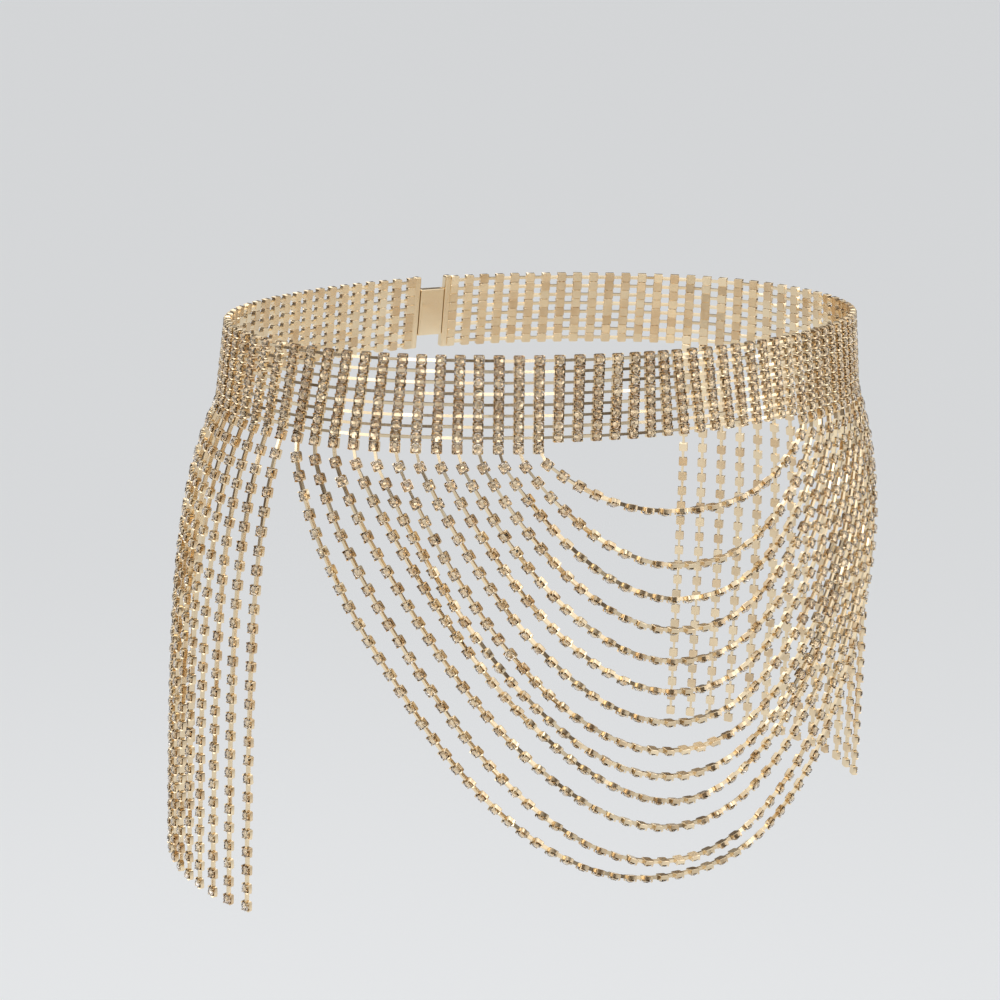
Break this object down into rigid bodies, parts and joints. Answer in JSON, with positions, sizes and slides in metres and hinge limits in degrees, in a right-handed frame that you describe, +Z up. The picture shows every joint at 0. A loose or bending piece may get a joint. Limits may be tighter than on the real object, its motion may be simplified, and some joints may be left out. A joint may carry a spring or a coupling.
{
  "type": "waist chain",
  "caption": "Worn waist chain: a wide band of stacked stone-set chain rows, nested chain swags across the front and a fringe of hanging stone strands on each hip.",
  "frame": {"origin": "centre of the waist opening at the band's mid-height", "axes": "+Z up along the body, -Y towards the wearer's front with the swags, +X towards the wearer's left hip"},
  "size_m": [0.312, 0.2016, 0.2142],
  "materials": {
    "gold": "polished pale gold plate",
    "stones": "cut clear glass, slightly champagne"
  },
  "bodies": {
    "root": {"band": "gold", "clasp": "gold", "swag_01": "gold", "swag_02": "gold", "swag_03": "gold", "swag_04": "gold", "swag_05": "gold", "swag_06": "gold", "swag_07": "gold", "swag_08": "gold", "swag_09": "gold", "swag_10": "gold", "swag_11": "gold", "swag_12": "gold", "swag_13": "gold", "fringe_left_01": "gold", "fringe_left_02": "gold", "fringe_left_03": "gold", "fringe_left_04": "gold", "fringe_left_05": "gold", "fringe_left_06": "gold", "fringe_left_07": "gold", "fringe_left_08": "gold", "fringe_left_09": "gold", "fringe_left_10": "gold", "fringe_left_11": "gold", "fringe_left_12": "gold", "fringe_left_13": "gold", "fringe_right_01": "gold", "fringe_right_02": "gold", "fringe_right_03": "gold", "fringe_right_04": "gold", "fringe_right_05": "gold", "fringe_right_06": "gold", "fringe_right_07": "gold", "fringe_right_08": "gold", "fringe_right_09": "gold", "fringe_right_10": "gold", "fringe_right_11": "gold", "fringe_right_12": "gold", "fringe_right_13": "gold"}
  },
  "joints": []
}
